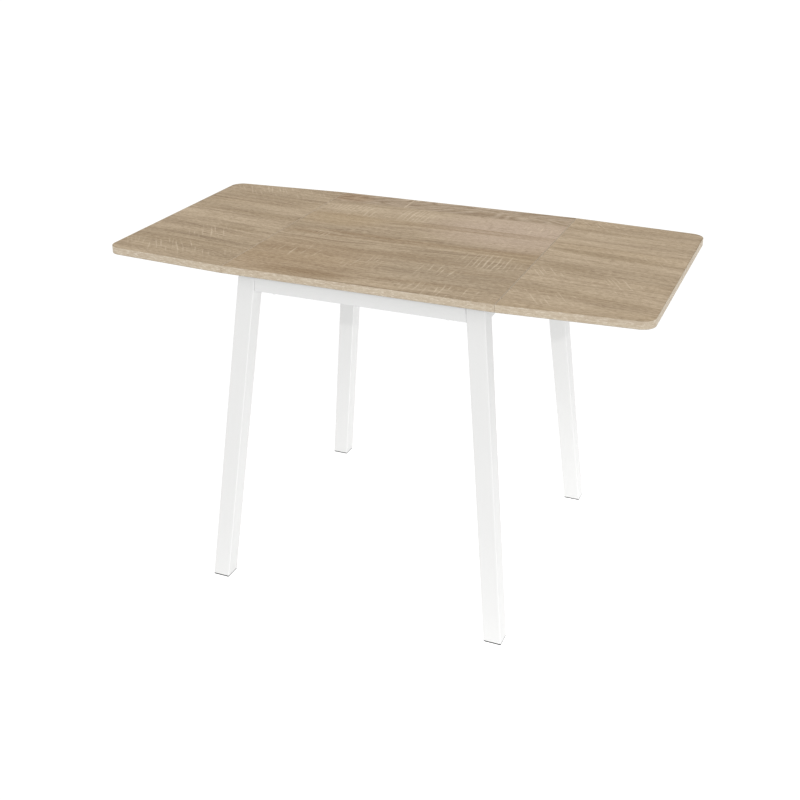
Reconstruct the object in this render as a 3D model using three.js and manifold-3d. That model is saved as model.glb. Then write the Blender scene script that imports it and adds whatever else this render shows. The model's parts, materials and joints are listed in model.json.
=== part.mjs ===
// Drop-leaf dining table: a laminated top in three boards on a steel frame with splayed legs.
// Millimetres, +Z up, +X along the table, origin on the floor under the middle of the top.
// The two end boards hang on self-locking folding brackets and drop through a right angle.

import * as THREE from 'three';
import { mergeVertices } from 'three/addons/utils/BufferGeometryUtils.js';
import Module from 'manifold-3d';

const wasm = await Module();
wasm.setup();

// ---------------------------------------------------------------- driving dimensions

const TOP_HEIGHT = 750;
const BOARD = 16;
const TABLE_LENGTH = 1200;
const CENTRE_LENGTH = 600;
const CENTRE_WIDTH = 612;
const END_WIDTH = 570;
const CORNER_RADIUS = 30;
const SEAM_GAP = 0.5;
const BAND = 1;
const GLUE_LINE = 0.1;

const TUBE = 40;
const TUBE_WALL = 1.5;
const TUBE_RADIUS = 3;
const LEG_TOP_X = 273;
const LEG_TOP_Y = 282;
const LEG_FOOT_X = 350;
const LEG_FOOT_Y = 344;
const RAIL_HEIGHT = 40;
const RAIL_DEPTH = 20;
const RAIL_RADIUS = 2;
const FOOT_PAD = 3;
const FOOT_STEM = 18;

const CLEARANCE = 0.3;
const SCREW_X = 194;
const HINGE_Y = 150;
const HINGE_DROP = 8;
const ROUND = 16;
const ROUND_SMALL = 12;
const ARC = 6;
const SMALL_ARC = 3;
const OVERCUT = 1;

const UNDERSIDE = TOP_HEIGHT - BOARD;
const RAIL_TOP = UNDERSIDE - CLEARANCE;
const RAIL_BOTTOM = UNDERSIDE - RAIL_HEIGHT;
const RAIL_MIDDLE = (RAIL_TOP + RAIL_BOTTOM) / 2;
const SEAM_X = CENTRE_LENGTH / 2;
const PIVOT_Z = UNDERSIDE - HINGE_DROP;

// ---------------------------------------------------------------- materials

function finish(color, roughness, metalness) {
  return new THREE.MeshStandardMaterial({ color, roughness, metalness });
}

const OAK = () => finish(0xb5a186, 0.5, 0);
const EDGE = () => finish(0xcdbfad, 0.55, 0);
const WHITE_STEEL = () => finish(0xf2f2f2, 0.4, 0.1);
const ZINC = () => finish(0xb9bcc0, 0.35, 0.9);
const SPRING_STEEL = () => finish(0x6f7276, 0.3, 1);
const BLACK_PLASTIC = () => finish(0x2b2b2c, 0.6, 0);

// ---------------------------------------------------------------- solids

// A closed geometry as a manifold solid, ready to be joined or cut.
function toSolid(geometry) {
  const bare = geometry.clone();
  bare.deleteAttribute('normal');
  bare.deleteAttribute('uv');
  const merged = mergeVertices(bare, 1e-4);
  return new wasm.Manifold(new wasm.Mesh({
    numProp: 3,
    vertProperties: merged.attributes.position.array,
    triVerts: Uint32Array.from(merged.index.array),
  }));
}

function toGeometry(solid) {
  const { vertProperties, triVerts } = solid.getMesh();
  const indexed = new THREE.BufferGeometry();
  indexed.setAttribute('position', new THREE.BufferAttribute(vertProperties, 3));
  indexed.setIndex(new THREE.BufferAttribute(triVerts, 1));
  const geometry = indexed.toNonIndexed();
  geometry.computeVertexNormals();
  return geometry;
}

function union(geometries) {
  return geometries.map(toSolid).reduce((whole, next) => whole.add(next));
}

// Outline through corners [x, y, radius]; each corner with a radius becomes a tangent arc.
function outline(corners, Path = THREE.Shape) {
  const path = new Path();
  const last = corners.length;
  corners.forEach(([x, y, radius = 0], i) => {
    const corner = new THREE.Vector2(x, y);
    const before = new THREE.Vector2(...corners[(i + last - 1) % last]).sub(corner).normalize();
    const after = new THREE.Vector2(...corners[(i + 1) % last]).sub(corner).normalize();
    const half = Math.acos(before.dot(after)) / 2;
    const start = corner.clone().addScaledVector(before, radius / Math.tan(half));
    const end = corner.clone().addScaledVector(after, radius / Math.tan(half));
    const middle = before.clone().add(after).normalize();
    const centre = corner.clone().addScaledVector(middle, radius / Math.sin(half));
    if (i === 0) path.moveTo(start.x, start.y);
    else path.lineTo(start.x, start.y);
    if (radius === 0) return;
    const from = Math.atan2(start.y - centre.y, start.x - centre.x);
    const to = Math.atan2(end.y - centre.y, end.x - centre.x);
    path.absarc(centre.x, centre.y, radius, from, to, before.cross(after) > 0);
  });
  path.closePath();
  return path;
}

function rectangle(width, depth, radius) {
  const x = width / 2;
  const y = depth / 2;
  return [[-x, -y, radius], [x, -y, radius], [x, y, radius], [-x, y, radius]];
}

// A plan outline raised from z = bottom by the given height.
function upright(shape, bottom, height, curveSegments = ARC) {
  const geometry = new THREE.ExtrudeGeometry(shape, {
    depth: height, bevelEnabled: false, curveSegments,
  });
  return geometry.translate(0, 0, bottom);
}

// A side outline, drawn in x and z, spread along Y from y0 to y1.
const SIDEWAYS = new THREE.Matrix4().makeBasis(
  new THREE.Vector3(1, 0, 0), new THREE.Vector3(0, 0, 1), new THREE.Vector3(0, -1, 0));

function sideways(shape, y0, y1, curveSegments = ARC) {
  const geometry = new THREE.ExtrudeGeometry(shape, {
    depth: y1 - y0, bevelEnabled: false, curveSegments,
  });
  return geometry.applyMatrix4(SIDEWAYS).translate(0, y1, 0);
}

function box(x0, x1, y0, y1, z0, z1) {
  const geometry = new THREE.BoxGeometry(x1 - x0, y1 - y0, z1 - z0);
  return geometry.translate((x0 + x1) / 2, (y0 + y1) / 2, (z0 + z1) / 2);
}

// A round bar along Y, centred at x, z.
function barAlongY(radius, y0, y1, x, z) {
  const geometry = new THREE.CylinderGeometry(radius, radius, y1 - y0, ROUND);
  return geometry.translate(x, (y0 + y1) / 2, z);
}

// A round bar along Z, centred at x, y.
function barAlongZ(radius, z0, z1, x, y) {
  const geometry = new THREE.CylinderGeometry(radius, radius, z1 - z0, ROUND_SMALL);
  return geometry.rotateX(Math.PI / 2).translate(x, y, (z0 + z1) / 2);
}

// ---------------------------------------------------------------- assembly helpers

const table = new THREE.Group();
const SIDES = [['left', -1], ['right', 1]];
const ENDS = [['front', -1], ['rear', 1]];

// Every shape is drawn in the quarter where x and y are positive, then mirrored into place.
function place(name, geometry, material, mirrorX = 1, mirrorY = 1) {
  const mesh = new THREE.Mesh(geometry, material);
  mesh.name = name;
  mesh.scale.set(mirrorX, mirrorY, 1);
  table.add(mesh);
}

function placeInEachCorner(suffix, geometry, material) {
  for (const [end, y] of ENDS) {
    for (const [side, x] of SIDES) {
      place(`${end}_${side}_${suffix}`, geometry.clone(), material(), x, y);
    }
  }
}

// ---------------------------------------------------------------- top boards

const BOARD_INSET = BAND + GLUE_LINE;

function topScrewHoles(board) {
  const depth = 11;
  const radius = 2.5;
  const y = LEG_TOP_Y - RAIL_DEPTH / 2;
  let drilled = board;
  for (const [, sideX] of SIDES) {
    for (const [, sideY] of ENDS) {
      const hole = barAlongZ(
        radius, UNDERSIDE - OVERCUT, UNDERSIDE + depth, sideX * SCREW_X, sideY * y);
      drilled = drilled.subtract(toSolid(hole));
    }
  }
  return drilled;
}

function makeCentreBoard() {
  const edgeX = SEAM_X - SEAM_GAP / 2;
  const edgeY = CENTRE_WIDTH / 2;
  const panelX = edgeX - BOARD_INSET;
  const panelY = edgeY - BOARD_INSET;
  const board = toSolid(box(-panelX, panelX, -panelY, panelY, UNDERSIDE, TOP_HEIGHT));
  place('centre_panel', toGeometry(topScrewHoles(board)), OAK());
  const longBand = box(-edgeX, edgeX, edgeY - BAND, edgeY, UNDERSIDE, TOP_HEIGHT);
  const seamBand = box(edgeX - BAND, edgeX, -panelY, panelY, UNDERSIDE, TOP_HEIGHT);
  for (const [end, y] of ENDS) {
    place(`centre_${end}_edge_band`, longBand.clone(), EDGE(), 1, y);
  }
  for (const [side, x] of SIDES) {
    place(`centre_${side}_seam_band`, seamBand.clone(), EDGE(), x);
  }
}

// Half the width of an end board at x, measured to a line set in from its slanted edge.
function leafHalfWidth(x, inset) {
  const run = TABLE_LENGTH / 2 - SEAM_X;
  const fall = (CENTRE_WIDTH - END_WIDTH) / 2;
  return CENTRE_WIDTH / 2 - fall * (x - SEAM_X) / run - inset * Math.hypot(run, fall) / run;
}

// The two outer corners and two seam corners of an end board, set in from its free edges.
function leafCorners(seam, inset) {
  const end = TABLE_LENGTH / 2 - inset;
  const radius = CORNER_RADIUS - inset;
  const seamWidth = leafHalfWidth(seam, inset);
  const endWidth = leafHalfWidth(end, inset);
  return [[seam, -seamWidth], [end, -endWidth, radius], [end, endWidth, radius], [seam, seamWidth]];
}

function makeLeaves() {
  const seam = SEAM_X + SEAM_GAP / 2;
  const arcs = 8;
  const panel = outline(leafCorners(seam + BOARD_INSET, BOARD_INSET));
  const wrap = outline([...leafCorners(seam, 0), ...leafCorners(seam, BAND).reverse()]);
  const seamReach = leafHalfWidth(seam + BAND, BOARD_INSET);
  const seamBand = box(seam, seam + BAND, -seamReach, seamReach, UNDERSIDE, TOP_HEIGHT);
  for (const [side, x] of SIDES) {
    place(`${side}_leaf_panel`, upright(panel, UNDERSIDE, BOARD, arcs), OAK(), x);
    place(`${side}_leaf_edge_band`, upright(wrap, UNDERSIDE, BOARD, arcs), EDGE(), x);
    place(`${side}_leaf_seam_band`, seamBand.clone(), EDGE(), x);
  }
}

// ---------------------------------------------------------------- legs and feet

// Slides each level sideways so that an upright column leans out to its foot.
const LEG_LEAN = new THREE.Matrix4().set(
  1, 0, -(LEG_FOOT_X - LEG_TOP_X) / UNDERSIDE, LEG_FOOT_X - TUBE / 2,
  0, 1, -(LEG_FOOT_Y - LEG_TOP_Y) / UNDERSIDE, LEG_FOOT_Y - TUBE / 2,
  0, 0, 1, 0,
  0, 0, 0, 1);

// The room that a leg and its clearance take, used to cut the rail ends to the leg's slope.
const legRoom = toSolid(
  upright(outline(rectangle(TUBE + 2 * CLEARANCE, TUBE + 2 * CLEARANCE, 0)), 0, TOP_HEIGHT)
    .applyMatrix4(LEG_LEAN));

function makeLegs() {
  const section = outline(rectangle(TUBE, TUBE, TUBE_RADIUS));
  const bore = TUBE - 2 * TUBE_WALL;
  section.holes.push(outline(rectangle(bore, bore, TUBE_RADIUS - TUBE_WALL), THREE.Path));
  const tube = upright(section, FOOT_PAD, RAIL_TOP - FOOT_PAD, SMALL_ARC).applyMatrix4(LEG_LEAN);
  const hole = legBoltBar(LEG_BOLT_RADIUS + CLEARANCE, 0, LEG_BOLT_LENGTH + OVERCUT);
  const drilled = toSolid(tube).subtract(toSolid(hole));
  placeInEachCorner('leg', toGeometry(drilled), WHITE_STEEL);
}

function makeFeet() {
  const bore = TUBE - 2 * TUBE_WALL;
  const stemSize = bore - 2 * CLEARANCE;
  const padSize = TUBE - 1;
  const stemRoot = 1;
  const padPlan = outline(rectangle(padSize, padSize, TUBE_RADIUS));
  const stemPlan = outline(rectangle(stemSize, stemSize, TUBE_RADIUS - TUBE_WALL));
  const pad = upright(padPlan, 0, FOOT_PAD - CLEARANCE, SMALL_ARC);
  const stem = upright(stemPlan, stemRoot, FOOT_STEM, SMALL_ARC);
  const foot = union([pad.applyMatrix4(LEG_LEAN), stem.applyMatrix4(LEG_LEAN)]);
  placeInEachCorner('foot_plug', toGeometry(foot), BLACK_PLASTIC);
}

// ---------------------------------------------------------------- rails and top screws

const SCREW_RADIUS = 2.2;
const SCREW_HOLE = 2.6;

function railTube(length) {
  const section = outline(rectangle(RAIL_DEPTH, RAIL_TOP - RAIL_BOTTOM, RAIL_RADIUS));
  const inner = rectangle(RAIL_DEPTH - 2 * TUBE_WALL, RAIL_TOP - RAIL_BOTTOM - 2 * TUBE_WALL, 0);
  section.holes.push(outline(inner, THREE.Path));
  return sideways(section, -length / 2, length / 2, SMALL_ARC).translate(0, 0, RAIL_MIDDLE);
}

// A rail's solid, cut back to the two legs that it runs between.
function cutToLegs(rail, mirrored) {
  return rail.subtract(legRoom).subtract(legRoom.mirror(mirrored));
}

function makeRails() {
  const reachX = LEG_TOP_X - TUBE / 2;
  const reachY = LEG_TOP_Y - TUBE / 2;
  const centreY = LEG_TOP_Y - RAIL_DEPTH / 2;
  const long = railTube(2 * reachX).rotateZ(Math.PI / 2).translate(0, centreY, 0);
  let longRail = cutToLegs(toSolid(long), [1, 0, 0]);
  for (const [, x] of SIDES) {
    const hole = barAlongZ(SCREW_HOLE, RAIL_BOTTOM - OVERCUT, UNDERSIDE, x * SCREW_X, centreY);
    longRail = longRail.subtract(toSolid(hole));
  }
  const short = railTube(2 * reachY).translate(LEG_TOP_X - RAIL_DEPTH / 2, 0, 0);
  const sideRail = cutToLegs(toSolid(short), [0, 1, 0]);
  for (const [end, y] of ENDS) {
    place(`${end}_rail`, toGeometry(longRail), WHITE_STEEL(), 1, y);
  }
  for (const [side, x] of SIDES) {
    place(`${side}_rail`, toGeometry(sideRail), WHITE_STEEL(), x);
  }
}

function makeTopScrews() {
  const headTop = RAIL_BOTTOM - CLEARANCE;
  const headRadius = 4.6;
  const crownRadius = 3.2;
  const headHeight = 2.8;
  const tip = UNDERSIDE + 10;
  const point = 3;
  const profile = [
    [0, headTop - headHeight],
    [crownRadius, headTop - headHeight],
    [headRadius, headTop],
    [SCREW_RADIUS, headTop],
    [SCREW_RADIUS, tip - point],
    [0, tip],
  ].map(([r, z]) => new THREE.Vector2(r, z));
  const screw = new THREE.LatheGeometry(profile, ROUND_SMALL).rotateX(Math.PI / 2);
  screw.translate(SCREW_X, LEG_TOP_Y - RAIL_DEPTH / 2, 0);
  placeInEachCorner('top_screw', screw, ZINC);
}

// ---------------------------------------------------------------- corner braces and leg bolts

const BRACE = 3;
const BRACE_HEIGHT = 30;
const BRACE_REACH = 38;
const BRACE_FLANGE = 26;
const BRACE_GAP = 10;
const LEG_BOLT_RADIUS = 4;
const LEG_BOLT_LENGTH = 38;
const INNER_X = LEG_TOP_X - RAIL_DEPTH - CLEARANCE;
const INNER_Y = LEG_TOP_Y - RAIL_DEPTH - CLEARANCE;

// The brace crosses the corner at 45 degrees, square to the line out to the leg's inner corner.
const BRACE_CENTRE_X = LEG_TOP_X - TUBE - BRACE_GAP;
const BRACE_CENTRE_Y = LEG_TOP_Y - TUBE - BRACE_GAP;
const BRACE_DISTANCE = BRACE_CENTRE_X + BRACE_CENTRE_Y;

function turnedToLeg(geometry) {
  return geometry.rotateZ(-Math.PI / 4).translate(BRACE_CENTRE_X, BRACE_CENTRE_Y, RAIL_MIDDLE);
}

// A bar on the leg bolt's axis; distances run outwards from the middle of the brace.
function legBoltBar(radius, from, to) {
  return turnedToLeg(barAlongY(radius, from, to, 0, 0));
}

function makeBraces() {
  const bendX = BRACE_DISTANCE - INNER_Y;
  const bendY = BRACE_DISTANCE - INNER_X;
  const skin = BRACE * (Math.SQRT2 - 1);
  const plan = outline([
    [bendX - BRACE_FLANGE, INNER_Y],
    [bendX, INNER_Y],
    [INNER_X, bendY],
    [INNER_X, bendY - BRACE_FLANGE],
    [INNER_X - BRACE, bendY - BRACE_FLANGE],
    [INNER_X - BRACE, bendY - skin],
    [bendX - skin, INNER_Y - BRACE],
    [bendX - BRACE_FLANGE, INNER_Y - BRACE],
  ]);
  const plate = toSolid(upright(plan, RAIL_MIDDLE - BRACE_HEIGHT / 2, BRACE_HEIGHT));
  const hole = toSolid(legBoltBar(LEG_BOLT_RADIUS + CLEARANCE, -BRACE_REACH / 2, BRACE_REACH / 2));
  placeInEachCorner('corner_brace', toGeometry(plate.subtract(hole)), ZINC);
}

function makeLegBolts() {
  const seat = -BRACE - CLEARANCE;
  const washer = 1.6;
  const washerRadius = 8.5;
  const head = 5.2;
  const headRadius = 7.5;
  const bite = 0.1;
  const headMiddle = seat - washer - (head - bite) / 2;
  const hexagon = new THREE.CylinderGeometry(headRadius, headRadius, head + bite, 6);
  const bolt = union([
    legBoltBar(LEG_BOLT_RADIUS, seat - washer / 2, LEG_BOLT_LENGTH),
    legBoltBar(washerRadius, seat - washer, seat),
    turnedToLeg(hexagon.translate(0, headMiddle, 0)),
  ]);
  placeInEachCorner('leg_bolt', toGeometry(bolt), ZINC);
}

// ---------------------------------------------------------------- locking leaf hinges

// Side outlines are drawn from the leaf's pivot: u outwards from the seam, v upwards.
const PLATE = 3;
const BACK_U = LEG_TOP_X + CLEARANCE - SEAM_X;
const BACK_HALF = 32;
const PIN_RADIUS = 4;
const PIN_HOLE = 4.1;
const EAR_INNER = 15;
const EAR_OUTER = 18;
const EAR_RADIUS = 7.4;
const ARM_HALF = 14;
const ARM_FLANGE = 2.5;
const ARM_LENGTH = 140;
const ARM_TOP = HINGE_DROP - CLEARANCE;
const CAM_RADIUS = 14;
const CAM_HALF = 2;
const LEVER_U = -14;
const LEVER_V = -25;
const LEVER_HALF = 10.5;
const LEVER_PIN = 2.5;
const LEVER_PIN_HOLE = 2.6;
const PAWL_ANGLE = THREE.MathUtils.degToRad(250);
const PAWL_TIP = 1.8;
const PAWL_LIFT = 0.4;
const WIRE_RADIUS = 0.5;

const atPivot = (geometry) => geometry.translate(SEAM_X, HINGE_Y, PIVOT_Z);

// The bracket on the side rail: a back plate with two ears that carry both pins.
function hingeBase() {
  const margin = 1;
  const low = RAIL_BOTTOM + margin - PIVOT_Z;
  const high = RAIL_TOP - margin - PIVOT_Z;
  const root = BACK_U + PLATE / 2;
  const rounding = 7;
  const ear = outline([
    [root, high],
    [root, low],
    [LEVER_U + rounding, low, rounding],
    [EAR_RADIUS, -EAR_RADIUS, rounding],
    [EAR_RADIUS, high, rounding - margin],
  ]);
  const solid = union([
    box(BACK_U, BACK_U + PLATE, -BACK_HALF, BACK_HALF, low, high),
    sideways(ear, EAR_INNER, EAR_OUTER, SMALL_ARC),
    sideways(ear, -EAR_OUTER, -EAR_INNER, SMALL_ARC),
  ]);
  const pinHole = toSolid(barAlongY(PIN_HOLE, -BACK_HALF, BACK_HALF, 0, 0));
  const leverHole = toSolid(barAlongY(LEVER_PIN_HOLE, -BACK_HALF, BACK_HALF, LEVER_U, LEVER_V));
  return toGeometry(solid.subtract(pinHole).subtract(leverHole));
}

// A disc sector around the pivot, run out into the arm's web, with a notch for the pawl.
function camPlate() {
  const heel = THREE.MathUtils.degToRad(235);
  const rise = THREE.MathUtils.degToRad(240);
  const stop = THREE.MathUtils.degToRad(345);
  const root = 22;
  const rootLow = 3;
  const notchRadius = 2.4;
  const cam = new THREE.Shape();
  cam.moveTo(0, ARM_TOP);
  cam.absarc(0, 0, ARM_TOP, Math.PI / 2, heel, false);
  cam.absarc(0, 0, CAM_RADIUS, rise, stop, false);
  cam.lineTo(root, rootLow);
  cam.lineTo(root, ARM_TOP);
  cam.closePath();
  const notch = barAlongY(notchRadius, -ARM_HALF, ARM_HALF,
    CAM_RADIUS * Math.cos(PAWL_ANGLE), CAM_RADIUS * Math.sin(PAWL_ANGLE));
  return toSolid(sideways(cam, -CAM_HALF, CAM_HALF)).subtract(toSolid(notch));
}

// The channel under the leaf: two flanges turn on the pin, and a notched cam stands between them.
function hingeArm() {
  const webStart = 8;
  const mountStart = 44;
  const mountHalf = 21;
  const knee = 60;
  const kneeRadius = 20;
  const tipDepth = 1.5;
  const tipRadius = 2;
  const flange = outline([
    [-ARM_TOP, ARM_TOP, ARM_TOP],
    [-ARM_TOP, -ARM_TOP, ARM_TOP],
    [knee, -ARM_TOP, kneeRadius],
    [ARM_LENGTH, tipDepth, tipRadius],
    [ARM_LENGTH, ARM_TOP],
  ]);
  const channel = union([
    sideways(flange, ARM_HALF - ARM_FLANGE, ARM_HALF, SMALL_ARC),
    sideways(flange, -ARM_HALF, ARM_FLANGE - ARM_HALF, SMALL_ARC),
    box(webStart, ARM_LENGTH, -ARM_HALF, ARM_HALF, ARM_TOP - PLATE, ARM_TOP),
    box(mountStart, ARM_LENGTH, -mountHalf, mountHalf, ARM_TOP - PLATE, ARM_TOP),
  ]);
  const hole = toSolid(barAlongY(PIN_HOLE, -2 * ARM_HALF, 2 * ARM_HALF, 0, 0));
  return toGeometry(channel.add(camPlate()).subtract(hole));
}

// A rivet along Y whose two heads stand just outside the ears.
function rivet(radius, headRadius, headHeight) {
  const seat = EAR_OUTER + CLEARANCE;
  const end = seat + headHeight;
  const profile = [
    [0, -end],
    [headRadius, -end],
    [headRadius, -seat],
    [radius, -seat],
    [radius, seat],
    [headRadius, seat],
    [headRadius, end],
    [0, end],
  ].map(([r, y]) => new THREE.Vector2(r, y));
  return new THREE.LatheGeometry(profile, ROUND);
}

// The release lever: its pawl rides on the cam and its tab hangs below the rail for a finger.
function lockLever() {
  const bossRadius = 5;
  const bend = 8;
  const bendDepth = 12;
  const fingerU = -5;
  const fingerV = -43;
  const halfThick = 1;
  const tipDistance = CAM_RADIUS + PAWL_LIFT + PAWL_TIP;
  const tipU = tipDistance * Math.cos(PAWL_ANGLE);
  const tipV = tipDistance * Math.sin(PAWL_ANGLE);
  const boss = barAlongY(bossRadius, -LEVER_HALF, LEVER_HALF, LEVER_U, LEVER_V);
  const tip = barAlongY(PAWL_TIP, -LEVER_HALF, LEVER_HALF, tipU, tipV);
  const strut = outline([
    [LEVER_U - PLATE, LEVER_V + PLATE],
    [LEVER_U + PLATE, LEVER_V - PLATE],
    [tipU + PAWL_TIP * 0.8, tipV - PAWL_TIP * 0.4],
    [tipU - PAWL_TIP * 0.8, tipV + PAWL_TIP * 0.4],
  ]);
  const tab = outline([
    [LEVER_U - PLATE, LEVER_V],
    [LEVER_U - halfThick, LEVER_V - bendDepth, bend],
    [fingerU - halfThick, fingerV - halfThick],
    [fingerU + halfThick, fingerV + halfThick],
    [LEVER_U + PLATE, LEVER_V - bendDepth + halfThick, bend],
    [LEVER_U + PLATE, LEVER_V],
  ]);
  const solid = union([boss, tip,
    sideways(strut, -LEVER_HALF, LEVER_HALF),
    sideways(tab, -LEVER_HALF, LEVER_HALF, SMALL_ARC)]);
  const hole = barAlongY(LEVER_PIN_HOLE, -2 * LEVER_HALF, 2 * LEVER_HALF, LEVER_U, LEVER_V);
  return toGeometry(solid.subtract(toSolid(hole)));
}

// A torsion spring around the lever's pin, beside the lever, with a straight tail at each end.
class SpringWire extends THREE.Curve {
  getPoint(t, target = new THREE.Vector3()) {
    const radius = 3.6;
    const turns = 2.5;
    const width = 2.9;
    const sideGap = 0.9;
    const tailShare = 0.12;
    const tailLength = 6.6;
    const coil = THREE.MathUtils.clamp((t - tailShare) / (1 - 2 * tailShare), 0, 1);
    const past = Math.max(tailShare - t, t - 1 + tailShare, 0);
    const way = t < tailShare ? 1 : -1;
    const angle = 2 * Math.PI * turns * coil;
    const run = way * tailLength * past / tailShare;
    target.set(
      LEVER_U - radius * Math.cos(angle) - run * Math.sin(angle),
      LEVER_HALF + sideGap + width * coil,
      LEVER_V + radius * Math.sin(angle) - run * Math.cos(angle));
    return target;
  }
}

function leverSpring() {
  const wire = new THREE.Shape();
  wire.absarc(0, 0, WIRE_RADIUS, 0, 2 * Math.PI, false);
  return new THREE.ExtrudeGeometry(wire, {
    extrudePath: new SpringWire(), steps: 26, curveSegments: SMALL_ARC, bevelEnabled: false,
  });
}

function makeHinges() {
  const pieces = [
    ['hinge_base', hingeBase(), ZINC],
    ['hinge_arm', hingeArm(), ZINC],
    ['hinge_pin', rivet(PIN_RADIUS, 6.2, 2), ZINC],
    ['lock_lever', lockLever(), ZINC],
    ['lever_pin', rivet(LEVER_PIN, 4.2, 1.5).translate(LEVER_U, 0, LEVER_V), ZINC],
    ['lever_spring', leverSpring(), SPRING_STEEL],
  ];
  for (const [suffix, geometry, material] of pieces) {
    placeInEachCorner(suffix, atPivot(geometry), material);
  }
}

// ---------------------------------------------------------------- the whole table

makeCentreBoard();
makeLeaves();
makeLegs();
makeFeet();
makeRails();
makeTopScrews();
makeBraces();
makeLegBolts();
makeHinges();

export default table;
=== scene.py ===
"""Looks of a drop-leaf dining table: oak-decor laminate boards on a white powder-coated frame.

Lengths are metres. +X runs along the table, +Z is up, and the origin is on the floor under the top.
The oak decor is made from noise in each board's own plane, so it turns with a leaf that folds.
"""

import json
import math

import bmesh
import bpy
from mathutils import Matrix, Vector

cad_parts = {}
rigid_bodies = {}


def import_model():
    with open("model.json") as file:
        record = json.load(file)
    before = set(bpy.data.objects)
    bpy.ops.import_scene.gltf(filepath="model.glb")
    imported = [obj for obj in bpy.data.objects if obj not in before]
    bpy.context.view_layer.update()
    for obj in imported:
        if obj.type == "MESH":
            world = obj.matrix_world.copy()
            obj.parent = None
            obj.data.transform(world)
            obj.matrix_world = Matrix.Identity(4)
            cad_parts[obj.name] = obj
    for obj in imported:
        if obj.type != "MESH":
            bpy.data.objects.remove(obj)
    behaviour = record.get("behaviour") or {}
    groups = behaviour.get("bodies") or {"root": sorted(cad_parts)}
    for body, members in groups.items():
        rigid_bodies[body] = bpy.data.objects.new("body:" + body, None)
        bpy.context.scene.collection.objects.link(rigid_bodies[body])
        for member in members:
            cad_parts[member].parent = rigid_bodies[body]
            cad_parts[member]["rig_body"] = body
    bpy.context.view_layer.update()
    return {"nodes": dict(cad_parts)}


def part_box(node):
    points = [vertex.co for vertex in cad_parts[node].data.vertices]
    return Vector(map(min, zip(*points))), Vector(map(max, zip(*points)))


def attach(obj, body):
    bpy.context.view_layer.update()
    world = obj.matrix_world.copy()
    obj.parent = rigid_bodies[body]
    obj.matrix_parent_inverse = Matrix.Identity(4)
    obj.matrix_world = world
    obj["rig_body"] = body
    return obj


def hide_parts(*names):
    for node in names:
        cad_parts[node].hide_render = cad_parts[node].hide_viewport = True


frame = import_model()

NODES = frame["nodes"]
MM = 0.001
SIDES = (("left", -1), ("right", 1))
ENDS = (("front", -1), ("rear", 1))
CORNERS = [(f"{end}_{side}_", toward_x, toward_y) for end, toward_y in ENDS for side, toward_x in SIDES]


# ---------------------------------------------------------------- node graphs


def linear(red, green, blue):
    """A colour given as 0 to 255 in sRGB, as the shader's linear colour."""
    def channel(value):
        value /= 255
        return value / 12.92 if value <= 0.04045 else ((value + 0.055) / 1.055) ** 2.4
    return (channel(red), channel(green), channel(blue), 1.0)


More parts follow.
